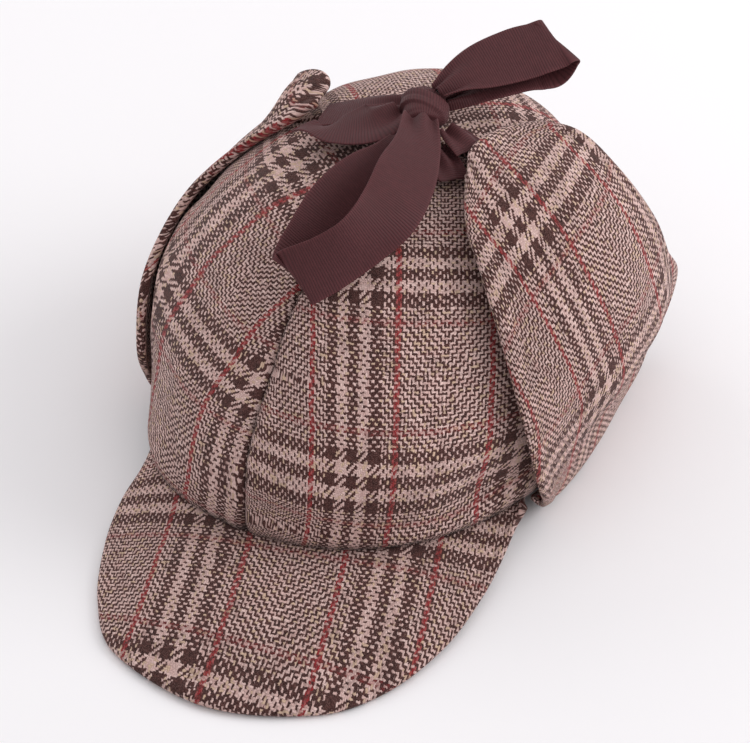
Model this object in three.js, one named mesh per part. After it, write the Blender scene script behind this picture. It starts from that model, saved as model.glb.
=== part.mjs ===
import * as THREE from 'three';

// Deerstalker hat, millimetres, +Z up, the front of the hat facing -Y.
// The hat stands on its two brims and on the folds of its ear flaps, on z = 0.
// Every piece is a cloth wall made from an outer surface and the same surface
// moved inward by the thickness of the cloth.

// ---- driving sizes -------------------------------------------------------
const CROWN_HALF_WIDTH = 81.5;   // outside, ear to ear
const CROWN_HALF_LENGTH = 106.7; // outside, front to back
const CROWN_TOP = 111.5;         // height of the crown's top
const CROWN_FULLNESS = 2.68;     // exponent of the dome profile, 2 is round
const CROWN_LEAN = 0.192;        // how far the dome slumps back per mm of height
const CROWN_SWELL = 0.05;        // the cloth swells out above the rim
const RIM_FRONT_Z = 15.8;        // the front of the rim is lifted by the brim
const RIM_SIDE_Z = 7.6;
const CROWN_CLOTH = 2.0;
const BRIM_CLOTH = 3.0;          // two layers of tweed over a stiff core
const FLAP_CLOTH = 2.6;          // two layers of tweed
const RIBBON_WIDTH = 25;
const RIBBON_CLOTH = 1.0;
const GAP = 0.3;
// The tables are written from the middle of the crown's rim. This is the middle
// of the whole hat's box in those terms, and the model is moved to stand on it.
const MIDDLE_X = 4.0;
const MIDDLE_Y = -6.3;

// ---- colours -------------------------------------------------------------
const TWEED = { color: 0x9a837a, roughness: 0.95, metalness: 0 };
const RIBBON = { color: 0x4a2e32, roughness: 0.6, metalness: 0 };

// ---- tables --------------------------------------------------------------
// The crown is four gores; each row names a gore and its two seams in degrees,
// 0 at the front and positive towards +X.
const GORES = [
  { name: 'crown_gore_front_left', from: -95, to: -8 },
  { name: 'crown_gore_front_right', from: -8, to: 85 },
  { name: 'crown_gore_back_right', from: 85, to: 175 },
  { name: 'crown_gore_back_left', from: 175, to: 265 },
];

// Dents and soft folds of the crown: where, how wide and how deep.
const DENTS = [
  { at: 52, up: 0.16, wide: 11, tall: 0.10, deep: 3.5 },
  { at: 40, up: 0.02, wide: 16, tall: 0.05, deep: -1.6 },
  { at: -48, up: 0.30, wide: 16, tall: 0.16, deep: 1.8 },
  { at: 140, up: 0.45, wide: 24, tall: 0.20, deep: 2.5 },
  { at: -150, up: 0.35, wide: 22, tall: 0.18, deep: 2.0 },
  { at: -80, up: 0.55, wide: 27, tall: 0.19, deep: -8.5 },
  { at: -64, up: 0.36, wide: 18, tall: 0.16, deep: -2.4 },
  { at: 98, up: 0.5, wide: 26, tall: 0.19, deep: -5 },
];

// Where the crown's cloth stands fuller right down to its rim.
const FULLER = { at: -42, wide: 23, tall: 0.14, out: 6, down: 0 };

// Outer edge of each brim, a row every few centimetres along it: along runs
// from the brim's end at -X to its end at +X, z is the top of the cloth.
const FRONT_BRIM_EDGE = [
  { along: 0.00, x: -66.0, y: -66, z: 11.5 },
  { along: 0.08, x: -64.5, y: -80, z: 9.0 },
  { along: 0.17, x: -64.5, y: -97, z: 6.5 },
  { along: 0.26, x: -60.5, y: -118, z: 4.4 },
  { along: 0.35, x: -50.5, y: -143, z: 3.2 },
  { along: 0.43, x: -34.0, y: -163, z: 3.0 },
  { along: 0.52, x: 5.0, y: -174, z: 3.4 },
  { along: 0.62, x: 42.0, y: -163, z: 3.0 },
  { along: 0.70, x: 60.0, y: -145, z: 3.2 },
  { along: 0.79, x: 71.5, y: -118, z: 4.6 },
  { along: 0.87, x: 75.5, y: -91, z: 7.0 },
  { along: 0.94, x: 75.5, y: -68, z: 9.5 },
  { along: 1.00, x: 73.5, y: -49, z: 12.0 },
];
const FLATTENED = 0.93; // the brims' cloth where it presses on the surface, as a share of its thickness
const FRONT_BRIM = { from: -53.5, to: 64.5, droop: 1.35, arch: 4.5 };

const BACK_BRIM_EDGE = [
  { along: 0.00, x: -62.0, y: 74, z: 6.4 },
  { along: 0.10, x: -66.0, y: 88, z: 4.8 },
  { along: 0.24, x: -62.0, y: 118, z: 2.2 },
  { along: 0.37, x: -42.0, y: 148, z: 1.2 },
  { along: 0.50, x: 0.0, y: 161, z: 1.2 },
  { along: 0.63, x: 42.0, y: 148, z: 1.2 },
  { along: 0.76, x: 62.0, y: 118, z: 2.2 },
  { along: 0.90, x: 66.0, y: 88, z: 4.8 },
  { along: 1.00, x: 62.0, y: 74, z: 6.4 },
];
const BACK_BRIM = { from: 228.5, to: 131.5, droop: 0.8, arch: 1.0 };

// Each ear flap starts under the rim, folds outward and stands up the side of
// the crown to the tip that the ribbon ties. A row is a level up the flap and
// holds the flap's front edge, middle and back edge.
const RIGHT_FLAP = [
  { level: 'rim', fx: 74, fy: -37, fz: 5.2, mx: 79, my: 0, mz: 4.6, bx: 73, by: 42, bz: 4.4 },
  { level: 'fold', fx: 78, fy: -37, fz: 3.0, mx: 84, my: 1, mz: 1.8, bx: 80, by: 50, bz: 2.4 },
  { level: 'turn', fx: 82, fy: -43, fz: 11, mx: 88, my: 4, mz: 10, bx: 88, by: 66, bz: 13 },
  { level: 'low', fx: 83, fy: -52, fz: 27, mx: 91.7, my: 8.6, mz: 26.7, bx: 92.5, by: 73.6, bz: 36.3 },
  { level: 'ear', fx: 77.5, fy: -54.5, fz: 54, mx: 99.5, my: 9.3, mz: 51.1, bx: 91.5, by: 59.6, bz: 57.8 },
  { level: 'high', fx: 66, fy: -46, fz: 78, mx: 94.5, my: 6.5, mz: 78.9, bx: 88.1, by: 45.8, bz: 83.6 },
  { level: 'brow', fx: 52, fy: -34, fz: 100, mx: 79, my: 7, mz: 102, bx: 75, by: 41, bz: 104 },
  { level: 'lap', fx: 39, fy: -19, fz: 111.5, mx: 57, my: 11, mz: 115, bx: 57, by: 46, bz: 112.5 },
  { level: 'tip', fx: 30, fy: 2, fz: 118, mx: 30.5, my: 18, mz: 119, bx: 39, by: 42, bz: 115.5 },
];
const LEFT_FLAP = [
  { level: 'rim', fx: -75.5, fy: -31, fz: 5.2, mx: -79, my: 3, mz: 4.6, bx: -73, by: 42, bz: 4.4 },
  { level: 'fold', fx: -80, fy: -33, fz: 3, mx: -84, my: 3, mz: 1.8, bx: -80, by: 47, bz: 2.4 },
  { level: 'turn', fx: -84, fy: -37, fz: 13, mx: -88, my: 6, mz: 12, bx: -83, by: 54, bz: 13 },
  { level: 'low', fx: -81.5, fy: -45, fz: 34, mx: -91, my: 7, mz: 31, bx: -83, by: 56, bz: 32 },
  { level: 'ear', fx: -85.5, fy: -29, fz: 56, mx: -91, my: 12, mz: 53, bx: -81, by: 56, bz: 55 },
  { level: 'high', fx: -83.8, fy: 2, fz: 71, mx: -82.5, my: 26, mz: 72, bx: -72, by: 53, bz: 74 },
  { level: 'brow', fx: -65.7, fy: 15.2, fz: 91.7, mx: -64, my: 31.5, mz: 93.1, bx: -59.4, by: 51.3, bz: 93.4 },
  { level: 'lap', fx: -45.8, fy: 16.8, fz: 108.2, mx: -54.1, my: 30.7, mz: 110, bx: -57.2, by: 47.6, bz: 103.7 },
  { level: 'tip', fx: -35.9, fy: 28.4, fz: 114.1, mx: -41.4, my: 38.1, mz: 117.1, bx: -54.3, by: 45, bz: 111.1 },
];

// Ribbon bands: a row is a station along the band, its middle and the
// direction of its width.
const RIBBONS = [
  {
    name: 'bow_loop_front', rows: [
      { x: 8.3, y: 12.7, z: 126.4, wx: 0.81, wy: 0.56, wz: -0.13, w: 12.3 },
      { x: 14.8, y: -6.1, z: 127.4, wx: 0.79, wy: 0.49, wz: -0.37, w: 17 },
      { x: 17.7, y: -23.5, z: 127, wx: 0.75, wy: 0.53, wz: -0.4, w: 21.9 },
      { x: 18, y: -39.7, z: 122.8, wx: 0.76, wy: 0.49, wz: -0.43, w: 22.4 },
      { x: 12.9, y: -52.7, z: 116.9, wx: 0.62, wy: 0.47, wz: -0.63, w: 21.9 },
      { x: 4.8, y: -61.8, z: 111.4, wx: 0.65, wy: 0.21, wz: -0.73, w: 21.3 },
      { x: -4.2, y: -68.1, z: 106.9, wx: 0.68, wy: -0.05, wz: -0.74, w: 21.7 },
      { x: -6, y: -66.5, z: 105.7, wx: 0.7, wy: -0.08, wz: -0.71, w: 21.5 },
      { x: -6.6, y: -60.5, z: 107.9, wx: 0.72, wy: 0.02, wz: -0.69, w: 20.9 },
      { x: -4.7, y: -51.6, z: 111.5, wx: 0.8, wy: 0.19, wz: -0.58, w: 22.4 },
      { x: -3.5, y: -39.9, z: 115.4, wx: 0.8, wy: 0.3, wz: -0.52, w: 22.4 },
      { x: -0.6, y: -28.8, z: 117.9, wx: 0.81, wy: 0.36, wz: -0.47, w: 22.3 },
      { x: 2.7, y: -17.9, z: 119, wx: 0.83, wy: 0.38, wz: -0.42, w: 20.7 },
      { x: 5.1, y: -7.5, z: 119.4, wx: 0.85, wy: 0.35, wz: -0.39, w: 16.3 },
      { x: 6.6, y: 5.4, z: 120.5, wx: 0.89, wy: 0.37, wz: -0.28, w: 11.6 },
      { x: 5.6, y: 12.2, z: 120.9, wx: 0.94, wy: 0.33, wz: -0.07, w: 8.4 },
    ],
  },
  {
    name: 'bow_loop_right', rows: [
      { x: 8.9, y: 29.1, z: 127.2, wx: 0.8, wy: -0.59, wz: -0.12, w: 8.6 },
      { x: 14.2, y: 36.9, z: 130.4, wx: 0.6, wy: -0.75, wz: -0.28, w: 15 },
      { x: 20.7, y: 44.8, z: 132.2, wx: 0.58, wy: -0.72, wz: -0.37, w: 19.8 },
      { x: 29.9, y: 54.2, z: 133.7, wx: 0.69, wy: -0.62, wz: -0.38, w: 22.4 },
      { x: 36.2, y: 59.8, z: 134.8, wx: 0.8, wy: -0.51, wz: -0.31, w: 22.4 },
      { x: 41.2, y: 64.8, z: 135.6, wx: 0.9, wy: -0.33, wz: -0.28, w: 22.4 },
      { x: 40.6, y: 65.6, z: 132.9, wx: 0.87, wy: -0.37, wz: -0.33, w: 22.4 },
      { x: 38.6, y: 61.9, z: 128.1, wx: 0.84, wy: -0.43, wz: -0.34, w: 22.4 },
      { x: 35, y: 58.5, z: 127.5, wx: 0.78, wy: -0.51, wz: -0.35, w: 22.4 },
      { x: 30, y: 53.9, z: 127.8, wx: 0.76, wy: -0.58, wz: -0.3, w: 22.4 },
      { x: 23.9, y: 47.3, z: 126.4, wx: 0.71, wy: -0.65, wz: -0.28, w: 20.1 },
      { x: 17.7, y: 40, z: 124.4, wx: 0.63, wy: -0.71, wz: -0.32, w: 14.4 },
      { x: 10.4, y: 31.1, z: 122.5, wx: 0.71, wy: -0.65, wz: -0.28, w: 8.1 },
    ],
  },
  {
    name: 'bow_tie_left', rows: [
      { x: -3, y: 18.5, z: 123, wx: 0.4, wy: -0.9, wz: -0.1, w: 13 },
      { x: -9, y: 10, z: 121.5, wx: 0.38, wy: -0.92, wz: -0.07, w: 24 },
      { x: -21, y: 5.5, z: 118, wx: 0.45, wy: -0.85, wz: 0.1, w: 18 },
      { x: -30, y: 6, z: 115.5, wx: 0.35, wy: -0.8, wz: 0.4, w: 12 },
      { x: -36, y: 8, z: 114, wx: 0.3, wy: -0.9, wz: 0.2, w: 12 },
    ],
  },
  {
    name: 'bow_tail_left', rows: [
      { x: -4, y: 29, z: 118.5, wx: 0.1, wy: 1, wz: 0, w: 12 },
      { x: -14, y: 26, z: 117, wx: 0.1, wy: 1, wz: 0, w: 17 },
      { x: -25, y: 22.5, z: 114, wx: 0.2, wy: 0.98, wz: 0, w: 19 },
      { x: -34, y: 21, z: 111.2, wx: 0.3, wy: 0.95, wz: 0, w: 19 },
    ],
  },
  {
    name: 'bow_tie_right', rows: [
      { x: 16.5, y: 19, z: 119.5, wx: -0.25, wy: 0.95, wz: 0.1, w: 10 },
      { x: 21.5, y: 17, z: 118, wx: -0.1, wy: 1, wz: 0.05, w: 14 },
      { x: 27, y: 15, z: 115.8, wx: 0, wy: 1, wz: 0, w: 16 },
    ],
  },
  {
    name: 'bow_tail_right', rows: [
      { x: 15, y: 9, z: 116.5, wx: 0.6, wy: 0.75, wz: 0, w: 9 },
      { x: 21, y: 4.5, z: 115, wx: 0.62, wy: 0.75, wz: -0.05, w: 12 },
      { x: 27, y: -1, z: 113, wx: 0.65, wy: 0.7, wz: -0.2, w: 12 },
    ],
  },
];
const KNOT = { x: 5.5, y: 23.5, z: 122.5, halfWidth: 8, halfLength: 9.5, halfHeight: 5, tilt: 0.35 };

// ---- curves --------------------------------------------------------------
const RAD = Math.PI / 180;
const clamp = (v, lo, hi) => Math.min(hi, Math.max(lo, v));
const mix = (a, b, t) => a + (b - a) * t;

// Smooth curve through the rows of a table; key is the column that runs along it.
function through(rows, keys, key) {
  const at = key ? rows.map((r) => r[key]) : rows.map((_, i) => i / (rows.length - 1));
  const n = rows.length;
  const slope = keys.map((k) => rows.map((_, i) => {
    const a = Math.max(0, i - 1), b = Math.min(n - 1, i + 1);
    return (rows[b][k] - rows[a][k]) / (at[b] - at[a]);
  }));
  return (t) => {
    let i = 0;
    while (i < n - 2 && t > at[i + 1]) i += 1;
    const h = at[i + 1] - at[i];
    const s = clamp((t - at[i]) / h, 0, 1);
    const a = 2 * s ** 3 - 3 * s ** 2 + 1, b = s ** 3 - 2 * s ** 2 + s;
    const c = -2 * s ** 3 + 3 * s ** 2, d = s ** 3 - s ** 2;
    return keys.map((k, j) => a * rows[i][k] + b * h * slope[j][i] + c * rows[i + 1][k] + d * h * slope[j][i + 1]);
  };
}

function fuller(angle) {
  let off = (angle / RAD - FULLER.at) % 360;
  if (off > 180) off -= 360;
  if (off < -180) off += 360;
  return Math.exp(-((off / FULLER.wide) ** 2));
}

function rimHeight(angle) {
  return RIM_SIDE_Z + (RIM_FRONT_Z - RIM_SIDE_Z) * ((1 + Math.cos(angle)) / 2) ** 2 - FULLER.down * fuller(angle);
}

// Point of the crown's outside: angle round it in radians, rise from 0 at the
// rim to 1 at the top.
function crownPoint(angle, rise) {
  const turn = (rise * Math.PI) / 2;
  const power = 2 / CROWN_FULLNESS;
  const round = Math.max(0, Math.cos(turn)) ** power;
  const up = Math.sin(turn) ** power;
  let swell = 1 + CROWN_SWELL * Math.sin(Math.PI * clamp(up / 0.6, 0, 1));
  for (const dent of DENTS) {
    let off = (angle / RAD - dent.at) % 360;
    if (off > 180) off -= 360;
    if (off < -180) off += 360;
    const k = (off / dent.wide) ** 2 + ((up - dent.up) / dent.tall) ** 2;
    swell -= (dent.deep / 90) * Math.exp(-k) * Math.sin(Math.PI * clamp(up / 0.04, 0, 1) / 2);
  }
  swell += (FULLER.out / 90) * fuller(angle) * Math.exp(-((up / FULLER.tall) ** 2));
  const rim = rimHeight(angle);
  const z = rim + (CROWN_TOP - rim) * up;
  return new THREE.Vector3(
    CROWN_HALF_WIDTH * Math.sin(angle) * round * swell,
    -CROWN_HALF_LENGTH * Math.cos(angle) * round * swell + z * CROWN_LEAN,
    z,
  );
}

// ---- solids --------------------------------------------------------------
// Closed cloth wall from surface(u, v). The outer side looks along the cross
// product of the u and v directions times side; floor keeps it above z = 0.
function wall(name, surface, nu, nv, cloth, side, look, floor = false) {
  const e = 1e-3;
  const outer = [], inner = [];
  for (let j = 0; j <= nv; j += 1) {
    for (let i = 0; i <= nu; i += 1) {
      const u = i / nu, v = j / nv;
      const p = surface(u, v);
      const du = surface(Math.min(1, u + e), v).sub(surface(Math.max(0, u - e), v));
      const dv = surface(u, Math.min(1, v + e)).sub(surface(u, Math.max(0, v - e)));
      const normal = du.cross(dv).normalize().multiplyScalar(side);
      const q = p.clone().addScaledVector(normal, -cloth);
      if (floor && q.z < 0) q.z = 0;
      outer.push(p);
      inner.push(q);
    }
  }
  const points = outer.concat(inner);
  const half = outer.length, row = nu + 1;
  const index = [];
  const quad = (a, b, c, d) => (side > 0 ? index.push(a, b, c, a, c, d) : index.push(a, c, b, a, d, c));
  for (let j = 0; j < nv; j += 1) {
    for (let i = 0; i < nu; i += 1) {
      const a = j * row + i, b = a + 1, c = b + row, d = a + row;
      quad(a, b, c, d);
      quad(half + d, half + c, half + b, half + a);
    }
  }
  for (let i = 0; i < nu; i += 1) {
    quad(half + i, half + i + 1, i + 1, i);
    const t = nv * row + i;
    quad(t, t + 1, half + t + 1, half + t);
  }
  for (let j = 0; j < nv; j += 1) {
    const l = j * row, r = l + nu;
    quad(l, l + row, half + l + row, half + l);
    quad(half + r, half + r + row, r + row, r);
  }
  return solid(name, points, index, look);
}

function solid(name, points, index, look) {
  const geometry = new THREE.BufferGeometry();
  geometry.setAttribute('position', new THREE.Float32BufferAttribute(points.flatMap((p) => [p.x - MIDDLE_X, p.y - MIDDLE_Y, p.z]), 3));
  geometry.setIndex(index);
  geometry.computeVertexNormals();
  const mesh = new THREE.Mesh(geometry, new THREE.MeshStandardMaterial(look));
  mesh.name = name;
  return mesh;
}

function gore({ name, from, to }) {
  const tipRadius = 1.6;
  const topRise = 1 - (2 / Math.PI) * Math.asin((tipRadius / CROWN_HALF_WIDTH) ** (CROWN_FULLNESS / 2));
  return wall(name, (u, v) => {
    const rise = mix(0, topRise, v);
    const middle = crownPoint(((from + to) / 2) * RAD, rise);
    const radius = Math.hypot(middle.x, middle.y - middle.z * CROWN_LEAN);
    const inset = GAP / 2 / Math.max(radius, tipRadius);
    return crownPoint(mix(from * RAD + inset, to * RAD - inset, u), rise);
  }, 14, 13, CROWN_CLOTH, 1, TWEED);
}

// The brim's inner edge lies just under the crown's rim.
function brim(name, spec, rows, cloth) {
  const edge = through(rows, ['x', 'y', 'z'], 'along');
  return wall(name, (u, v) => {
    const angle = mix(spec.from, spec.to, u) * RAD;
    const rim = crownPoint(angle, 0);
    const pull = 1 - 1.5 / CROWN_HALF_WIDTH;
    const lean = rim.z * CROWN_LEAN;
    const a = new THREE.Vector3(rim.x * pull, (rim.y - lean) * pull + lean, rim.z - GAP - 0.1);
    const b = new THREE.Vector3(...edge(u));
    const p = a.clone().lerp(b, v);
    const middle = Math.sin(Math.PI * u);
    p.z = mix(a.z, b.z, v ** (spec.droop * middle + (1 - middle)));
    const reach = Math.hypot(b.x - a.x, b.y - a.y);
    p.z += spec.arch * middle * Math.sin(Math.PI * v) * clamp(reach / 60, 0, 1) * 0.5;
    p.z = Math.max(p.z, cloth * FLATTENED);
    return p;
  }, 26, 7, cloth, spec.from < spec.to ? -1 : 1, TWEED, true);
}

function flap(name, rows, side) {
  const keys = ['fx', 'fy', 'fz', 'mx', 'my', 'mz', 'bx', 'by', 'bz'];
  const level = through(rows, keys);
  return wall(name, (u, v) => {
    const [fx, fy, fz, mx, my, mz, bx, by, bz] = level(v);
    const f = 2 * (u - 0.5) * (u - 1), m = 4 * u * (1 - u), b = 2 * u * (u - 0.5);
    return new THREE.Vector3(f * fx + m * mx + b * bx, f * fy + m * my + b * by, f * fz + m * mz + b * bz);
  }, 14, 24, FLAP_CLOTH, side, TWEED, false);
}

function band({ name, rows }) {
  const station = through(rows, ['x', 'y', 'z', 'wx', 'wy', 'wz', 'w']);
  return wall(name, (u, v) => {
    const [x, y, z, wx, wy, wz, w] = station(v);
    const across = new THREE.Vector3(wx, wy, wz).normalize();
    return new THREE.Vector3(x, y, z).addScaledVector(across, (u - 0.5) * Math.min(w, RIBBON_WIDTH));
  }, 2, rows.length > 6 ? 30 : 10, RIBBON_CLOTH, 1, RIBBON);
}

function knot(spec) {
  const shape = new THREE.SphereGeometry(1, 14, 10);
  shape.deleteAttribute('uv');
  shape.scale(spec.halfWidth, spec.halfLength, spec.halfHeight);
  shape.rotateX(spec.tilt * 0.3);
  shape.rotateZ(spec.tilt);
  shape.translate(spec.x - MIDDLE_X, spec.y - MIDDLE_Y, spec.z);
  const mesh = new THREE.Mesh(shape, new THREE.MeshStandardMaterial(RIBBON));
  mesh.name = 'bow_knot';
  return mesh;
}

const group = new THREE.Group();
for (const row of GORES) group.add(gore(row));
group.add(brim('front_brim', FRONT_BRIM, FRONT_BRIM_EDGE, BRIM_CLOTH));
group.add(brim('back_brim', BACK_BRIM, BACK_BRIM_EDGE, BRIM_CLOTH));
group.add(flap('ear_flap_right', RIGHT_FLAP, 1));
group.add(flap('ear_flap_left', LEFT_FLAP, -1));
for (const row of RIBBONS) group.add(band(row));
group.add(knot(KNOT));

export default group;
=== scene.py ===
"""Deerstalker hat: the looks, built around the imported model. Everything is worked out in millimetres
from the middle of the crown's rim, as the model's tables are, and moved into the model's frame by
place(). The tweed's pattern is woven from thread orders, thread by thread."""

import math

import bpy
import numpy as np
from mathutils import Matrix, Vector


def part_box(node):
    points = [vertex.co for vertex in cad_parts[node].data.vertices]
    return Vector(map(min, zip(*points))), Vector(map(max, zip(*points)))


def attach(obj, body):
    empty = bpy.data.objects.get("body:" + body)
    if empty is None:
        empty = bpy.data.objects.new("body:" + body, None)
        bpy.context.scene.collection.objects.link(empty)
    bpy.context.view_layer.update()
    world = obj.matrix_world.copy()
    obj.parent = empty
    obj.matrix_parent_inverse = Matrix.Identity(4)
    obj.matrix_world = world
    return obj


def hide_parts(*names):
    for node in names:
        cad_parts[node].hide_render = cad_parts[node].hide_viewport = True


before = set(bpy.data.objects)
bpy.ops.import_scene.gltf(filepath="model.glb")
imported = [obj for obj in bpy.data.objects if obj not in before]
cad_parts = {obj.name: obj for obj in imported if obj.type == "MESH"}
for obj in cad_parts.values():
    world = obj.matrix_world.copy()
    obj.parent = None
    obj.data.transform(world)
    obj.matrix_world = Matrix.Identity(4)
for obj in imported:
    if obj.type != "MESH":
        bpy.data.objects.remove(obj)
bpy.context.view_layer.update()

RAD = math.pi / 180
MM = 0.001

# ---- the hat's sizes, mm, from the middle of the crown's rim -----------------
CROWN_HALF_WIDTH, CROWN_HALF_LENGTH, CROWN_TOP = 81.5, 106.7, 111.5
CROWN_FULLNESS, CROWN_LEAN, CROWN_SWELL = 2.68, 0.192, 0.05
RIM_FRONT_Z, RIM_SIDE_Z = 15.8, 7.6
CROWN_CLOTH, BRIM_CLOTH, FLAP_CLOTH, RIBBON_CLOTH = 2.0, 3.0, 2.6, 0.7
GAP = 0.3

SEAMS = (-95, -8, 85, 175)  # degrees round the crown, 0 at the front

DENTS = [  # soft folds and dents of the crown
    dict(at=52, up=0.16, wide=11, tall=0.10, deep=3.5),
    dict(at=40, up=0.02, wide=16, tall=0.05, deep=-1.6),
    dict(at=-48, up=0.30, wide=16, tall=0.16, deep=1.8),
    dict(at=140, up=0.45, wide=24, tall=0.20, deep=2.5),
    dict(at=-150, up=0.35, wide=22, tall=0.18, deep=2.0),
    dict(at=-80, up=0.55, wide=27, tall=0.19, deep=-8.5),
    dict(at=-64, up=0.36, wide=18, tall=0.16, deep=-2.4),
    dict(at=98, up=0.5, wide=26, tall=0.19, deep=-5),
]

# Where the crown's cloth stands fuller right down to its rim.
FULLER = dict(at=-42, wide=23, tall=0.14, out=6, down=0)

FRONT_EDGE = [
    dict(along=0.00, x=-66.0, y=-66, z=11.5),
    dict(along=0.08, x=-64.5, y=-80, z=9.0),
    dict(along=0.17, x=-64.5, y=-97, z=6.5),
    dict(along=0.26, x=-60.5, y=-118, z=4.4),
    dict(along=0.35, x=-50.5, y=-143, z=3.2),
    dict(along=0.43, x=-34.0, y=-163, z=3.0),
    dict(along=0.52, x=5.0, y=-174, z=3.4),
    dict(along=0.62, x=42.0, y=-163, z=3.0),
    dict(along=0.70, x=60.0, y=-145, z=3.2),
    dict(along=0.79, x=71.5, y=-118, z=4.6),
    dict(along=0.87, x=75.5, y=-91, z=7.0),
    dict(along=0.94, x=75.5, y=-68, z=9.5),
    dict(along=1.00, x=73.5, y=-49, z=12.0),
]
BACK_EDGE = [
    dict(along=0.00, x=-62.0, y=74, z=6.4),
    dict(along=0.10, x=-66.0, y=88, z=4.8),
    dict(along=0.24, x=-62.0, y=118, z=2.2),
    dict(along=0.37, x=-42.0, y=148, z=1.2),
    dict(along=0.50, x=0.0, y=161, z=1.2),
    dict(along=0.63, x=42.0, y=148, z=1.2),
    dict(along=0.76, x=62.0, y=118, z=2.2),
    dict(along=0.90, x=66.0, y=88, z=4.8),
    dict(along=1.00, x=62.0, y=74, z=6.4),
]
BRIMS = {
    "front_brim": dict(edge=FRONT_EDGE, start=-53.5, end=64.5, droop=1.35, arch=4.5, side=-1),
    "back_brim": dict(edge=BACK_EDGE, start=228.5, end=131.5, droop=0.8, arch=1.0, side=1),
}

FLAPS = {
    "ear_flap_right": [
        dict(fx=74, fy=-37, fz=5.2, mx=79, my=0, mz=4.6, bx=73, by=42, bz=4.4),
        dict(fx=78, fy=-37, fz=3.0, mx=84, my=1, mz=1.8, bx=80, by=50, bz=2.4),
        dict(fx=82, fy=-43, fz=11, mx=88, my=4, mz=10, bx=88, by=66, bz=13),
        dict(fx=83, fy=-52, fz=27, mx=91.7, my=8.6, mz=26.7, bx=92.5, by=73.6, bz=36.3),
        dict(fx=77.5, fy=-54.5, fz=54, mx=99.5, my=9.3, mz=51.1, bx=91.5, by=59.6, bz=57.8),
        dict(fx=66, fy=-46, fz=78, mx=94.5, my=6.5, mz=78.9, bx=88.1, by=45.8, bz=83.6),
        dict(fx=52, fy=-34, fz=100, mx=79, my=7, mz=102, bx=75, by=41, bz=104),
        dict(fx=39, fy=-19, fz=111.5, mx=57, my=11, mz=115, bx=57, by=46, bz=112.5),
        dict(fx=30, fy=2, fz=118, mx=30.5, my=18, mz=119, bx=39, by=42, bz=115.5),
    ],
    "ear_flap_left": [
        dict(fx=-75.5, fy=-31, fz=5.2, mx=-79, my=3, mz=4.6, bx=-73, by=42, bz=4.4),
        dict(fx=-80, fy=-33, fz=3, mx=-84, my=3, mz=1.8, bx=-80, by=47, bz=2.4),
        dict(fx=-84, fy=-37, fz=13, mx=-88, my=6, mz=12, bx=-83, by=54, bz=13),
        dict(fx=-81.5, fy=-45, fz=34, mx=-91, my=7, mz=31, bx=-83, by=56, bz=32),
        dict(fx=-85.5, fy=-29, fz=56, mx=-91, my=12, mz=53, bx=-81, by=56, bz=55),
        dict(fx=-83.8, fy=2, fz=71, mx=-82.5, my=26, mz=72, bx=-72, by=53, bz=74),
        dict(fx=-65.7, fy=15.2, fz=91.7, mx=-64, my=31.5, mz=93.1, bx=-59.4, by=51.3, bz=93.4),
        dict(fx=-45.8, fy=16.8, fz=108.2, mx=-54.1, my=30.7, mz=110, bx=-57.2, by=47.6, bz=103.7),
        dict(fx=-35.9, fy=28.4, fz=114.1, mx=-41.4, my=38.1, mz=117.1, bx=-54.3, by=45, bz=111.1),
    ],
}


# ---- curves and surfaces -----------------------------------------------------
def spline(rows, keys, key=None):
    """Smooth curve through a table's rows: f(t) gives an array with one column per key."""
    n = len(rows)
    at = np.array([r[key] for r in rows] if key else np.linspace(0, 1, n), float)
    val = np.array([[r[k] for k in keys] for r in rows], float)
    a, b = np.maximum(0, np.arange(n) - 1), np.minimum(n - 1, np.arange(n) + 1)
    slope = (val[b] - val[a]) / (at[b] - at[a])[:, None]

    def f(t):
        t = np.asarray(t, float)
        i = np.clip(np.searchsorted(at, t, side="left") - 1, 0, n - 2)
        h = (at[i + 1] - at[i])[..., None]
        s = np.clip((t[..., None] - at[i][..., None]) / h, 0, 1)
        return (
            (2 * s**3 - 3 * s**2 + 1) * val[i]
            + (s**3 - 2 * s**2 + s) * h * slope[i]
            + (-2 * s**3 + 3 * s**2) * val[i + 1]
            + (s**3 - s**2) * h * slope[i + 1]
        )

    return f


def crown(angle, rise, fine=True):
    """Outside of the crown: angle round it in radians, rise 0 at the rim to 1 at the top."""
    turn = rise * math.pi / 2
    power = 2 / CROWN_FULLNESS
    rnd = np.maximum(0, np.cos(turn)) ** power
    up = np.sin(turn) ** power
    swell = 1 + CROWN_SWELL * np.sin(math.pi * np.clip(up / 0.6, 0, 1))
    base = np.sin(math.pi * np.clip(up / 0.04, 0, 1) / 2)
    for d in DENTS:
        off = (angle / RAD - d["at"] + 180) % 360 - 180
        k = (off / d["wide"]) ** 2 + ((up - d["up"]) / d["tall"]) ** 2
        swell = swell - d["deep"] / 90 * np.exp(-k) * base
    off = (angle / RAD - FULLER["at"] + 180) % 360 - 180
    full = np.exp(-((off / FULLER["wide"]) ** 2))
    swell = swell + FULLER["out"] / 90 * full * np.exp(-((up / FULLER["tall"]) ** 2))
    rim = RIM_SIDE_Z + (RIM_FRONT_Z - RIM_SIDE_Z) * ((1 + np.cos(angle)) / 2) ** 2 - FULLER["down"] * full
    z = rim + (CROWN_TOP - rim) * up
    return np.stack(
        [
            CROWN_HALF_WIDTH * np.sin(angle) * rnd * swell,
            -CROWN_HALF_LENGTH * np.cos(angle) * rnd * swell + z * CROWN_LEAN,
            z,
        ],
        -1,
    )


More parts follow.
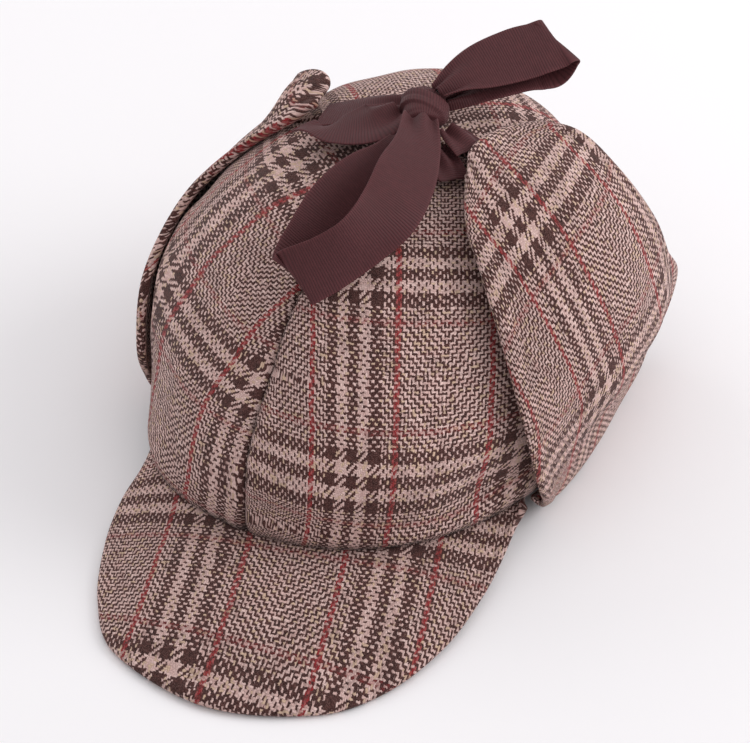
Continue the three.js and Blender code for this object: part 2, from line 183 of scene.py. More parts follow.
def brim_surface(spec):
    edge = spline(spec["edge"], "xyz", "along")

    def f(u, v):
        angle = (spec["start"] + (spec["end"] - spec["start"]) * u) * RAD
        rim = crown(angle, np.zeros_like(angle))
        pull = 1 - 1.5 / CROWN_HALF_WIDTH
        lean = rim[..., 2] * CROWN_LEAN
        a = np.stack(
            [rim[..., 0] * pull, (rim[..., 1] - lean) * pull + lean, rim[..., 2] - GAP - 0.1],
            -1,
        )
        b = edge(u)
        p = a + (b - a) * v[..., None]
        middle = np.sin(math.pi * u)
        share = v ** (spec["droop"] * middle + (1 - middle))
        z = a[..., 2] + (b[..., 2] - a[..., 2]) * share
        reach = np.hypot(b[..., 0] - a[..., 0], b[..., 1] - a[..., 1])
        z = z + spec["arch"] * middle * np.sin(math.pi * v) * np.clip(reach / 60, 0, 1) * 0.5
        p[..., 2] = np.maximum(z, BRIM_CLOTH * 0.93)
        return p

    return f


def flap_surface(rows):
    level = spline(rows, ("fx", "fy", "fz", "mx", "my", "mz", "bx", "by", "bz"))

    def f(u, v):
        r = level(v)
        k = [2 * (u - 0.5) * (u - 1), 4 * u * (1 - u), 2 * u * (u - 0.5)]
        return sum(k[i][..., None] * r[..., 3 * i : 3 * i + 3] for i in range(3))

    return f

# ---- ribbon ------------------------------------------------------------------
RIBBON_KEYS = ("x", "y", "z", "wx", "wy", "wz", "w")
RIBBONS = {
    "bow_loop_front": [
        (8.3, 12.7, 126.4, 0.81, 0.56, -0.13, 12.3),
        (14.8, -6.1, 127.4, 0.79, 0.49, -0.37, 17),
        (17.7, -23.5, 127, 0.75, 0.53, -0.4, 21.9),
        (18, -39.7, 122.8, 0.76, 0.49, -0.43, 22.4),
        (12.9, -52.7, 116.9, 0.62, 0.47, -0.63, 21.9),
        (4.8, -61.8, 111.4, 0.65, 0.21, -0.73, 21.3),
        (-4.2, -68.1, 106.9, 0.68, -0.05, -0.74, 21.7),
        (-6, -66.5, 105.7, 0.7, -0.08, -0.71, 21.5),
        (-6.6, -60.5, 107.9, 0.72, 0.02, -0.69, 20.9),
        (-4.7, -51.6, 111.5, 0.8, 0.19, -0.58, 22.4),
        (-3.5, -39.9, 115.4, 0.8, 0.3, -0.52, 22.4),
        (-0.6, -28.8, 117.9, 0.81, 0.36, -0.47, 22.3),
        (2.7, -17.9, 119, 0.83, 0.38, -0.42, 20.7),
        (5.1, -7.5, 119.4, 0.85, 0.35, -0.39, 16.3),
        (6.6, 5.4, 120.5, 0.89, 0.37, -0.28, 11.6),
        (5.6, 12.2, 120.9, 0.94, 0.33, -0.07, 8.4),
    ],
    "bow_loop_right": [
        (8.9, 29.1, 127.2, 0.8, -0.59, -0.12, 8.6),
        (14.2, 36.9, 130.4, 0.6, -0.75, -0.28, 15),
        (20.7, 44.8, 132.2, 0.58, -0.72, -0.37, 19.8),
        (29.9, 54.2, 133.7, 0.69, -0.62, -0.38, 22.4),
        (36.2, 59.8, 134.8, 0.8, -0.51, -0.31, 22.4),
        (41.2, 64.8, 135.6, 0.9, -0.33, -0.28, 22.4),
        (40.6, 65.6, 132.9, 0.87, -0.37, -0.33, 22.4),
        (38.6, 61.9, 128.1, 0.84, -0.43, -0.34, 22.4),
        (35, 58.5, 127.5, 0.78, -0.51, -0.35, 22.4),
        (30, 53.9, 127.8, 0.76, -0.58, -0.3, 22.4),
        (23.9, 47.3, 126.4, 0.71, -0.65, -0.28, 20.1),
        (17.7, 40, 124.4, 0.63, -0.71, -0.32, 14.4),
        (10.4, 31.1, 122.5, 0.71, -0.65, -0.28, 8.1),
    ],
    "bow_tie_left": [
        (-3, 18.5, 123, 0.4, -0.9, -0.1, 13),
        (-9, 10, 121.5, 0.38, -0.92, -0.07, 24),
        (-21, 5.5, 118, 0.45, -0.85, 0.1, 18),
        (-30, 6, 115.5, 0.35, -0.8, 0.4, 12),
        (-36, 8, 114, 0.3, -0.9, 0.2, 12),
    ],
    "bow_tail_left": [
        (-4, 29, 118.5, 0.1, 1, 0, 12),
        (-14, 26, 117, 0.1, 1, 0, 17),
        (-25, 22.5, 114, 0.2, 0.98, 0, 19),
        (-34, 21, 111.2, 0.3, 0.95, 0, 19),
    ],
    "bow_tie_right": [
        (16.5, 19, 119.5, -0.25, 0.95, 0.1, 10),
        (21.5, 17, 118, -0.1, 1, 0.05, 14),
        (27, 15, 115.8, 0, 1, 0, 16),
    ],
    "bow_tail_right": [
        (15, 9, 116.5, 0.6, 0.75, 0, 9),
        (21, 4.5, 115, 0.62, 0.75, -0.05, 12),
        (27, -1, 113, 0.65, 0.7, -0.2, 12),
    ],
}
KNOT = dict(x=5.8, y=23.0, z=123.0, half_width=8.8, half_length=9.8, half_height=5.4, tilt=0.35)

# The middle of the hat's box, from the middle of the crown's rim.
_lo, _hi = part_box("back_brim")
MIDDLE_X = -(_lo[0] + _hi[0]) / 2 / MM
MIDDLE_Y = 161.0 - _hi[1] / MM


def place(p):
    """Millimetres from the middle of the crown's rim, to metres in the model's frame."""
    return (np.asarray(p, float) - np.array([MIDDLE_X, MIDDLE_Y, 0.0])) * MM


# ---- mesh helpers ------------------------------------------------------------
def unit(v):
    return v / np.maximum(np.linalg.norm(v, axis=-1, keepdims=True), 1e-9)


def normals(p, side):
    n = np.cross(np.gradient(p, axis=1), np.gradient(p, axis=0))
    n = unit(n) * side
    # a row that has closed to a point borrows its neighbour's normal
    small = np.linalg.norm(p[:, -1] - p[:, 0], axis=-1) < 1e-3
    for j in np.nonzero(small)[0]:
        n[j] = n[j - 1 if j else 1]
    return n


def arc(p, axis):
    step = np.linalg.norm(np.diff(p, axis=axis), axis=-1)
    zero = np.zeros_like(np.take(step, [0], axis=axis))
    return np.concatenate([zero, np.cumsum(step, axis=axis)], axis=axis)


def smooth(a, lo, hi):
    t = np.clip((a - lo) / (hi - lo), 0, 1)
    return t * t * (3 - 2 * t)


def waves(x, y, seed, size, count=6):
    """Soft irregular relief of about one unit high, with features of the given size."""
    rng = np.random.default_rng(seed)
    total = np.zeros_like(x)
    for _ in range(count):
        a, ph = rng.uniform(0, 2 * math.pi, 2)
        k = 2 * math.pi / size * rng.uniform(0.6, 1.5)
        total += np.sin(k * (x * math.cos(a) + y * math.sin(a)) + ph)
    return total / math.sqrt(count / 2)


def make_mesh(name, verts, faces, cloth, look):
    """One closed mesh in the model's frame. cloth holds three numbers per vertex for the material."""
    mesh = bpy.data.meshes.new(name)
    mesh.from_pydata([tuple(v) for v in place(verts)], [], faces)
    mesh.validate()
    att = mesh.attributes.new("cloth", "FLOAT_VECTOR", "POINT")
    att.data.foreach_set("vector", np.asarray(cloth, np.float32).ravel())
    mesh.polygons.foreach_set("use_smooth", np.ones(len(mesh.polygons), bool))
    mesh.materials.append(look)
    obj = bpy.data.objects.new(name, mesh)
    bpy.context.scene.collection.objects.link(obj)
    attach(obj, "root")
    return obj


def cloth_wall(name, outer, n, cloth, under, thick, look, floor=None, rows=5, bulge=1.0):
    """A closed wall of cloth from the grid of its outer side: the same grid moved in along the
    normals n by thick, joined round the border by a rolled edge. cloth and under hold the
    material's numbers for the two sides."""
    nv, nu = outer.shape[0] - 1, outer.shape[1] - 1
    inner = outer - n * np.asarray(thick)[..., None]
    if floor is not None:
        inner[..., 2] = np.maximum(inner[..., 2], floor)
        outer = outer.copy()
        outer[..., 2] = np.maximum(outer[..., 2], floor + 0.4)
    ring = (
        [(0, i) for i in range(nu)]
        + [(j, nu) for j in range(nv)]
        + [(nv, i) for i in range(nu, 0, -1)]
        + [(j, 0) for j in range(nv, 0, -1)]
    )
    rj, ri = np.array(ring).T
    # outward direction within the sheet, at the border
    inside_j = np.clip(rj, 1, nv - 1)
    inside_i = np.clip(ri, 1, nu - 1)
    out = unit(outer[rj, ri] - outer[inside_j, inside_i])
    a, b = outer[rj, ri], inner[rj, ri]
    nn = unit(a - b)
    out = unit(out - nn * (out * nn).sum(-1, keepdims=True))
    half = np.linalg.norm(a - b, axis=-1, keepdims=True) / 2
    mid = (a + b) / 2
    size = (nv + 1) * (nu + 1)
    verts = [outer.reshape(-1, 3), inner.reshape(-1, 3)]
    data = [cloth.reshape(-1, 3), under.reshape(-1, 3)]
    for k in range(1, rows + 1):
        t = math.pi * k / (rows + 1)
        p = mid + nn * half * math.cos(t) + out * half * bulge * math.sin(t)
        if floor is not None:
            p[:, 2] = np.maximum(p[:, 2], floor)
        verts.append(p)
        c = cloth[rj, ri].copy()
        step = cloth[rj, ri] - cloth[inside_j, inside_i]
        gap = np.linalg.norm(outer[rj, ri] - outer[inside_j, inside_i], axis=-1, keepdims=True)
        c[:, :2] += (step / np.maximum(gap, 1e-3))[:, :2] * half * t
        c[:, 2] = cloth[rj, ri][:, 2]
        data.append(c)
    verts, data = np.concatenate(verts), np.concatenate(data)
    faces = []
    row = nu + 1
    for j in range(nv):
        for i in range(nu):
            q = (j * row + i, j * row + i + 1, (j + 1) * row + i + 1, (j + 1) * row + i)
            faces.append(q)
            faces.append(tuple(size + v for v in reversed(q)))
    L = len(ring)
    first = rj * row + ri

    def at(k, m):
        m %= L
        if k == 0:
            return int(first[m])
        if k == rows + 1:
            return int(size + first[m])
        return 2 * size + (k - 1) * L + m

    for k in range(rows + 1):
        for m in range(L):
            faces.append((at(k, m + 1), at(k, m), at(k + 1, m), at(k + 1, m + 1)))
    n_mid = n[nv // 2, nu // 2]
    q = faces[2 * (nv // 2 * nu + nu // 2)]
    if np.dot(np.cross(verts[q[1]] - verts[q[0]], verts[q[2]] - verts[q[0]]), n_mid) < 0:
        faces = [tuple(reversed(f)) for f in faces]
    return make_mesh(name, verts, faces, data, look)


# ---- where the pattern lies on each panel --------------------------------------
# p and q run across the warp and the weft. Each is a polynomial in the panel's own flat
# coordinates s and t, in decimetres: 1, s, t, st, ss, tt, sss, sst, stt, ttt. Outside
# the box lo to hi it runs on straight at the plain pitch.
LAY = {
    "crown_gore_front_right": dict(
        p=(95.87, 180.79, -5.9, -17.3, -61.29, 1.89, -0.34, 4.2, 10.63, -4.76),
        q=(80.07, -5.69, -174.14, -40.27, 18.91, 8.3, -0.85, 1.61, 1.73, -6.12),
        lo=(-71, 0), hi=(75, 160),
    ),
    "crown_gore_front_left": dict(
        p=(-62.57, 125.49, -0.73, -12.91, 63.44, -11.92, -17.21, 17.66, 18.35, 1.38),
        q=(132.76, -1.03, -178.02, 27.75, 11.87, -5.5, 2.01, 2.13, 5.86, -2.1),
        lo=(-22, 0), hi=(66, 125),
    ),
    "crown_gore_back_right": dict(
        p=(40, 178, 4, 0, 0, 0, 0, 0, 0, 0), q=(96, 4, -178, 0, 0, 0, 0, 0, 0, 0), lo=(-90, 0), hi=(90, 170)
    ),
    "crown_gore_back_left": dict(
        p=(-20, 178, -4, 0, 0, 0, 0, 0, 0, 0), q=(70, -4, -178, 0, 0, 0, 0, 0, 0, 0), lo=(-90, 0), hi=(90, 170)
    ),
    "front_brim": dict(
        p=(135.23, 169.74, -58.59, 8.48, -4.77, -1.77, 41.67, -10.91, -0.82, 5.69),
        q=(-114.01, 57.93, 167.83, -19.08, 5.15, -1.24, 0.94, 2.5, -10.08, -2.44),
        lo=(-66, 40), hi=(76, 176),
    ),
    "back_brim": dict(
        p=(30, 170, 45, 0, 0, 0, 0, 0, 0, 0), q=(20, -45, 170, 0, 0, 0, 0, 0, 0, 0), lo=(-90, 0), hi=(90, 100)
    ),
    "ear_flap_right": dict(
        p=(79.74, 187.02, 45.53, 45.17, -53.73, -15.91, 3.15, -11.46, -15.68, -9.82),
        q=(267.3, 42.15, -173.14, 5.19, -49.84, -0.2, 4.31, -14.01, -6.69, 1.69),
        lo=(-67, 0), hi=(65, 169),
    ),
    "ear_flap_left": dict(
        p=(20, 178, -20, 0, 0, 0, 0, 0, 0, 0), q=(300, 20, -178, 0, 0, 0, 0, 0, 0, 0), lo=(-90, 0), hi=(90, 200)
    ),
}
THREAD = 0.739  # pitch of the threads, mm
UNIT, ZERO = 1.3125, 0.62  # the tables' units to a thread, and the repeat's start


def lay(name, s, t):
    row = LAY[name]
    out = []
    sc, tc = np.clip(s, row["lo"][0], row["hi"][0]), np.clip(t, row["lo"][1], row["hi"][1])
    a, b = sc / 100, tc / 100
    terms = np.stack([np.ones_like(a), a, b, a * b, a * a, b * b, a**3, a * a * b, a * b * b, b**3], -1)
    for key in "pq":
        c = np.array(row[key], float)
        lin = c[1:3] / np.hypot(*c[1:3]) / THREAD
        out.append((terms @ c) / UNIT + ZERO + lin[0] * (s - sc) + lin[1] * (t - tc))
    return out


# ---- materials ---------------------------------------------------------------
def linear(*rgb):
    c = np.array(rgb, float) / 255
    return tuple(np.where(c <= 0.04045, c / 12.92, ((c + 0.055) / 1.055) ** 2.4)) + (1.0,)


class Look:
    """A node material, written as arithmetic on sockets."""

    def __init__(self, name):
        self.mat = bpy.data.materials.new(name)
        self.mat.use_nodes = True
        self.tree = self.mat.node_tree
        self.tree.nodes.clear()
        self.out = self.tree.nodes.new("ShaderNodeOutputMaterial")
        self.bsdf = self.tree.nodes.new("ShaderNodeBsdfPrincipled")
        self.tree.links.new(self.bsdf.outputs[0], self.out.inputs["Surface"])

    def put(self, socket, value):
        if isinstance(value, bpy.types.NodeSocket):
            self.tree.links.new(value, socket)
        else:
            socket.default_value = value

    def math(self, op, a, b=0.0, c=0.0):
        n = self.tree.nodes.new("ShaderNodeMath")
        n.operation = op
        for socket, value in zip(n.inputs, (a, b, c)):
            self.put(socket, value)
        return n.outputs[0]

    def add(self, a, b):
        return self.math("ADD", a, b)

    def mul(self, a, b):
        return self.math("MULTIPLY", a, b)

    def between(self, a, lo, hi):
        return self.mul(self.math("GREATER_THAN", a, lo), self.math("LESS_THAN", a, hi))

    def mix(self, fac, a, b, kind="RGBA", blend="MIX"):
        n = self.tree.nodes.new("ShaderNodeMix")
        n.data_type = kind
        if kind == "RGBA":
            n.blend_type = blend
            self.put(n.inputs[0], fac)
            self.put(n.inputs[6], a)
            self.put(n.inputs[7], b)
            return n.outputs[2]
        self.put(n.inputs[0], fac)
        self.put(n.inputs[2], a)
        self.put(n.inputs[3], b)
        return n.outputs[0]

    def vector(self, x, y, z=0.0):
        n = self.tree.nodes.new("ShaderNodeCombineXYZ")
        for socket, value in zip(n.inputs, (x, y, z)):
            self.put(socket, value)
        return n.outputs[0]

    def noise(self, vector, scale, detail=2.0, rough=0.5):
        n = self.tree.nodes.new("ShaderNodeTexNoise")
        self.put(n.inputs["Vector"], vector)
        n.inputs["Scale"].default_value = scale
        n.inputs["Detail"].default_value = detail
        n.inputs["Roughness"].default_value = rough
        return n.outputs[0]

    def white(self, vector):
        n = self.tree.nodes.new("ShaderNodeTexWhiteNoise")
        n.noise_dimensions = "3D"
        self.put(n.inputs["Vector"], vector)
        return n.outputs[0]

    def numbers(self):
        att = self.tree.nodes.new("ShaderNodeAttribute")
        att.attribute_name = "cloth"
        sep = self.tree.nodes.new("ShaderNodeSeparateXYZ")
        self.tree.links.new(att.outputs["Vector"], sep.inputs[0])
        co = self.tree.nodes.new("ShaderNodeTexCoord")
        return (*sep.outputs, co.outputs["Object"])

    def bump(self, height, strength, distance, normal=None):
        n = self.tree.nodes.new("ShaderNodeBump")
        n.inputs["Strength"].default_value = strength
        n.inputs["Distance"].default_value = distance
        self.tree.links.new(height, n.inputs["Height"])
        if normal is not None:
            self.tree.links.new(normal, n.inputs["Normal"])
        return n.outputs[0]


# The order of the threads, the same in warp and weft: REPEAT threads, with five bands
# of BAND threads from FIRST on, dark and light by turns, a red line of RED threads at
# either side of them, and single dark and light threads everywhere else. From TURN to
# the end of the repeat the twill runs the other way.
REPEAT, BAND, FIRST, LAST, RED, RED_A, RED_B, TURN = 96, 6, 10, 40, 3, 0, 47, 73
DARK, DARK_2 = linear(54, 29, 26), linear(88, 54, 49)
LIGHT, LIGHT_2 = linear(216, 184, 176), linear(244, 219, 211)
TAN = linear(216, 192, 158)
HAIR = linear(178, 142, 136)
RED_YARN = linear(158, 34, 42)


def tweed(name):
    k = Look(name)
    p0, q0, edge, own = k.numbers()
    # threads wander a little, and are thick and thin
    wide = k.math("SUBTRACT", k.noise(own, 150.0, 2.0), 0.5)
    wide2 = k.math("SUBTRACT", k.noise(k.vector(q0, p0, 7.3), 0.06, 2.0), 0.5)
    fine = k.math("SUBTRACT", k.noise(k.vector(p0, q0, 0.0), 0.75, 2.0, 0.6), 0.5)
    fine2 = k.math("SUBTRACT", k.noise(k.vector(p0, q0, 31.0), 0.75, 2.0, 0.6), 0.5)
    p = k.add(p0, k.add(k.mul(wide, 1.8), k.mul(fine, 1.9)))
    q = k.add(q0, k.add(k.mul(wide2, 1.9), k.mul(fine2, 1.9)))
    i, j = k.math("FLOOR", p), k.math("FLOOR", q)
    fp = k.math("SUBTRACT", k.math("SUBTRACT", p, i), 0.5)
    fq = k.math("SUBTRACT", k.math("SUBTRACT", q, j), 0.5)
    way = k.math("GREATER_THAN", k.math("FLOORED_MODULO", i, float(REPEAT)), TURN - 0.5)
    way = k.math("MULTIPLY_ADD", way, -2.0, 1.0)
    # here and there a thread slips past its neighbour
    slip = k.math("GREATER_THAN", k.white(k.vector(k.math("FLOOR", k.mul(p0, 0.125)), k.math("FLOOR", k.mul(q0, 0.125)), 9.0)), 0.72)
    over = k.math("LESS_THAN", k.math("FLOORED_MODULO", k.add(k.add(i, slip), k.mul(j, way)), 4.0), 1.5)

    def order(n):
        m = k.math("FLOORED_MODULO", n, float(REPEAT))
        band = k.between(m, FIRST - 0.5, LAST - 0.5)
        in_band = k.math("DIVIDE", k.math("SUBTRACT", m, FIRST - 0.25), float(BAND))
        in_band = k.math("FLOORED_MODULO", k.math("FLOOR", in_band), 2.0)
        in_mix = k.math("GREATER_THAN", k.math("FLOORED_MODULO", m, 2.0), 0.5)
        light = k.mix(band, in_mix, in_band, "FLOAT")
        red = k.math(
            "MAXIMUM",
            k.math("COMPARE", m, RED_A + (RED - 1) / 2, RED / 2),
            k.math("COMPARE", m, RED_B + (RED - 1) / 2, RED / 2),
        )
        return light, red

    def yarn(n, along, salt, redness):
        light, red = order(n)
        tone = k.noise(k.vector(k.mul(n, 7.31), k.mul(along, 0.16), salt), 1.0, 1.0)
        tone = k.math("MULTIPLY_ADD", k.math("SUBTRACT", tone, 0.5), 2.6, 0.5)
        fleck = k.white(k.vector(n, k.math("FLOOR", k.mul(along, 0.2)), salt))
        dark = k.mix(tone, DARK, DARK_2)
        pale = k.mix(tone, LIGHT, LIGHT_2)
        pale = k.mix(k.mul(k.math("GREATER_THAN", fleck, 0.84), 0.7), pale, TAN)
        colour = k.mix(light, dark, pale)
        return k.mix(k.mul(red, redness), colour, RED_YARN), red

    warp, warp_red = yarn(i, q, 1.7, 0.84)
    weft, weft_red = yarn(j, p, 5.9, 0.30)
    colour = k.mix(over, weft, warp)
    # loose red fibres lie over the other threads beside them
    patchy = k.math("MULTIPLY_ADD", k.noise(k.vector(k.mul(p0, 0.35), k.mul(q0, 0.35), 4.0), 1.0, 2.0), 1.5, -0.35)
    patchy = k.math("MAXIMUM", patchy, 0.0)
    stray = k.mul(k.math("MAXIMUM", k.mul(warp_red, 0.66), k.mul(weft_red, 0.2)), patchy)
    colour = k.mix(stray, colour, RED_YARN)

    # relief: each float is a rounded bar, highest in its middle
    def bar(f, run):
        across = k.math("MULTIPLY_ADD", k.mul(f, f), -3.4, 1.0)
        r = k.math("SUBTRACT", run, 1.0)
        along = k.math("MULTIPLY_ADD", k.mul(r, r), -0.55, 1.0)
        return k.mul(across, along)

    up = bar(fp, k.math("FLOORED_MODULO", k.add(k.mul(i, way), q), 4.0))
    run = k.math("FLOORED_MODULO", k.add(p, k.mul(j, way)), 4.0)
    flat = bar(fq, k.math("SUBTRACT", run, 2.0))
    height = k.math("MAXIMUM", k.mix(over, flat, up, "FLOAT"), 0.0)
    fuzz = k.noise(own, 3600.0, 3.0, 0.7)
    # the gaps between threads are in shade, and loose fibres soften it all
    gap = k.math("MULTIPLY_ADD", height, 0.42, 0.66)
    colour = k.mix(1.0, colour, k.vector(gap, gap, gap), blend="MULTIPLY")
    hair = k.mul(k.math("GREATER_THAN", fuzz, 0.55), 0.30)
    colour = k.mix(hair, colour, HAIR)
    # large soft unevenness of the wool, and painted shade: darker in the creases and seam valleys and on the shaded
    # part of the front brim
    mottle = k.math("MULTIPLY_ADD", k.noise(own, 34.0, 2.0), 0.22, 0.80)
    # painted shade from the third cloth number
    mottle = k.mul(mottle, k.math("MULTIPLY_ADD", edge, -0.45, 1.0))
    warm = k.mul(mottle, 0.925)
    colour = k.mix(1.0, colour, k.vector(mottle, warm, warm), blend="MULTIPLY")
    k.put(k.bsdf.inputs["Base Color"], colour)
    k.put(k.bsdf.inputs["Roughness"], k.math("MULTIPLY_ADD", fuzz, 0.25, 0.75))
    k.bsdf.inputs["Specular IOR Level"].default_value = 0.2
    k.bsdf.inputs["Sheen Weight"].default_value = 0.1
    k.bsdf.inputs["Sheen Roughness"].default_value = 0.45
    k.bsdf.inputs["Sheen Tint"].default_value = (1.0, 0.93, 0.9, 1)
    bump = k.bump(fuzz, 0.25, 0.00012)
    k.put(k.bsdf.inputs["Normal"], k.bump(height, 0.75, 0.00022, bump))
    return k.mat


RIB = 0.92  # pitch of the ribbon's ribs, mm


def ribbon(name):
    k = Look(name)
    along, across, edge, own = k.numbers()
    wander = k.math("SUBTRACT", k.noise(k.vector(k.mul(along, 0.05), k.mul(across, 0.12), 3.0), 1.0, 2.0), 0.5)
    rib = k.add(k.math("DIVIDE", along, RIB), k.mul(wander, 0.5))
    n = k.math("FLOOR", rib)
    f = k.math("SUBTRACT", k.math("SUBTRACT", rib, n), 0.5)
    height = k.math("MULTIPLY_ADD", k.mul(f, f), -3.6, 1.0)
    warp = k.math("PINGPONG", k.math("DIVIDE", across, 0.24), 1.0)
    tone = k.noise(k.vector(k.mul(n, 3.7), k.mul(across, 0.25), 1.0), 1.0, 2.0)
    colour = k.mix(tone, linear(67, 31, 34), linear(88, 46, 49))
    shade = k.math("MULTIPLY_ADD", height, 0.46, 0.64)
    shade = k.mul(shade, k.math("MULTIPLY_ADD", warp, 0.12, 0.94))
    shade = k.mul(shade, k.math("MULTIPLY_ADD", k.noise(own, 60.0, 2.0), 0.24, 0.88))
    shade = k.mul(shade, k.math("MULTIPLY_ADD", edge, 0.22, 1.0))
    colour = k.mix(1.0, colour, k.vector(shade, shade, shade), blend="MULTIPLY")
    k.put(k.bsdf.inputs["Base Color"], colour)
    k.put(k.bsdf.inputs["Roughness"], k.math("MULTIPLY_ADD", tone, 0.2, 0.5))
    k.bsdf.inputs["Specular IOR Level"].default_value = 0.22
    k.bsdf.inputs["Sheen Weight"].default_value = 0.05
    k.bsdf.inputs["Sheen Roughness"].default_value = 0.4
    k.bsdf.inputs["Sheen Tint"].default_value = (1.0, 0.85, 0.85, 1)
    fine = k.bump(warp, 0.25, 0.00006)
    k.put(k.bsdf.inputs["Normal"], k.bump(height, 0.8, 0.0002, fine))
    return k.mat


TWEED = tweed("tweed_check")
RIBBON = ribbon("ribbed_ribbon")


# ---- crown -------------------------------------------------------------------
def flat_gore(p, from_deg, to_deg):
    """Flat coordinates of a gore's grid: s across and t up from the rim, as it would be cut."""
    c = p.shape[1] // 2
    s = arc(p, 1)
    s = s - s[:, [c]]
    t = arc(p, 0)[:, c]
    span = (to_deg - from_deg) * RAD * 8 / (p.shape[1] - 1)
    r = np.linalg.norm(p[:, c + 4] - p[:, c - 4], axis=1) / span
    turn = (-np.gradient(r, t) / r)[:, None] * s
    safe = np.where(np.abs(turn) < 1e-4, 1, turn)
    x = s * np.where(np.abs(turn) < 1e-4, 1, np.sin(safe) / safe)
    y = t[:, None] + s * np.where(np.abs(turn) < 1e-4, turn / 2, (1 - np.cos(safe)) / safe)
    return x, y


RIM_DROP = 0.7  # the crown's rim settles this far onto the brims' stitched edge, mm


def gore(name, from_deg, to_deg, nu=128, nv=120):
    tip = 1.6
    top = 1 - (2 / math.pi) * math.asin((tip / CROWN_HALF_WIDTH) ** (CROWN_FULLNESS / 2))
    u = np.linspace(0, 1, nu + 1)
    # rows crowd towards the rim and the tip, where the cloth turns
    v = np.linspace(0, 1, nv + 1)
    v = v - 0.10 * np.sin(2 * math.pi * v) / (2 * math.pi)
    U, V = np.meshgrid(u, v * top)
    middle = crown(np.full(nv + 1, (from_deg + to_deg) / 2 * RAD), v * top)
    radius = np.maximum(np.hypot(middle[:, 0], middle[:, 1] - middle[:, 2] * CROWN_LEAN), tip)
    inset = (0.12 / 2 / radius)[:, None]
    angle = (from_deg * RAD + inset) + ((to_deg - from_deg) * RAD - 2 * inset) * U
    p = crown(angle, V)
    n = normals(p, 1)
    if (n[nv // 2, nu // 2] @ np.array([p[nv // 2, nu // 2, 0], p[nv // 2, nu // 2, 1], 20])) < 0:
        n = -n
    s = arc(p, 1)
    t = arc(p, 0)
    seam = np.minimum(s, s[:, [-1]] - s)  # distance to the nearer seam
    rim = t
    x, y = flat_gore(p, from_deg, to_deg)
    a_, b_ = lay(name, x, y)
    # the seam's valley, its puckers, and the cloth puffing up beside it
    reach = np.clip(s[:, [-1]] / 30, 0, 1)
    depth = -1.25 * np.exp(-((seam / 1.1) ** 2)) * reach
    depth += 0.45 * np.exp(-(((seam - 4.2) / 2.6) ** 2)) * reach
    depth += 0.16 * np.sin(t * 2 * math.pi / 7.5 + 2 * waves(t, s, 3, 30, 3)) * np.exp(-seam / 5) * reach
    # the rim tucks in over the brims
    depth += -0.4 * np.exp(-((rim / 1.1) ** 2)) + 0.45 * np.exp(-(((rim - 4.0) / 2.8) ** 2))
    # the cloth is never quite even
    depth += 0.30 * waves(p[..., 0], p[..., 1] + p[..., 2], 11, 38) * smooth(rim, 2, 20)
    outer = p + n * depth[..., None]
    outer[..., 2] -= RIM_DROP * np.exp(-((rim / 3.0) ** 2))
    n2 = normals(outer, 1)
    if (n2[nv // 2, nu // 2] @ n[nv // 2, nu // 2]) < 0:
        n2 = -n2
    # painted shade: darker along the seam valleys and in the crease at the rim
    painted_shade = np.clip(np.exp(-((seam / 0.9) ** 2)) * reach + 0.6 * np.exp(-((rim / 0.9) ** 2)), 0, 1)
    cloth = np.stack([a_, b_, painted_shade], -1)
    under = np.stack([a_, b_ + 2, painted_shade * 0], -1)
    obj = cloth_wall(name.replace("crown_gore", "tweed_gore"), outer, n, cloth, under, np.full(outer.shape[:2], CROWN_CLOTH - 0.4), TWEED, rows=2, bulge=0.1)
    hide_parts(name)
    return obj


def brim(name, nu=200, nv=80):
    spec = BRIMS[name]
    f = brim_surface(spec)
    U, V = np.meshgrid(np.linspace(0, 1, nu + 1), np.linspace(0, 1, nv + 1) ** 0.9)
    p = f(U, V)
    n = normals(p, 1)
    if n[nv // 2, nu // 2, 2] < 0:
        n = -n
    across, along = arc(p, 0), arc(p, 1)
    edge = np.minimum(across[[-1]] - across, np.minimum(along, along[:, [-1]] - along) + 4)
    x, y = p[..., 0], p[..., 1]
    if name == "front_brim":
        a_, b_ = lay(name, x, -y)
    else:
        a_, b_ = lay(name, x, y - 70)
    inner = across
    depth = -0.2 * np.exp(-((inner / 1.6) ** 2))
    depth += 0.22 * np.exp(-(((edge - 2.6) / 1.8) ** 2)) - 0.15 * np.exp(-(((edge - 6.5) / 1.2) ** 2))
    depth += 0.22 * waves(x, y, 5, 45) * smooth(edge, 0, 12) * smooth(inner, 0, 10)
    outer = p + n * depth[..., None]
    # painted shade: darker in the crease at the crown's rim, and over the brim's middle and right, where less light
    # falls
    painted_shade = 0.6 * np.exp(-((inner / 2.2) ** 2)) + 0.28 * smooth(x, -62, -15)
    cloth = np.stack([a_, b_, painted_shade], -1)
    under = np.stack([a_ + 31, b_ + 17, painted_shade * 0], -1)
    thick = BRIM_CLOTH - 1.2 * np.exp(-((edge / 1.5) ** 2)) * 0
    obj = cloth_wall("tweed_" + name, outer, n, cloth, under, np.full(p.shape[:2], thick), TWEED, floor=0.0, rows=5, bulge=0.8)
    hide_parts(name)
    return obj


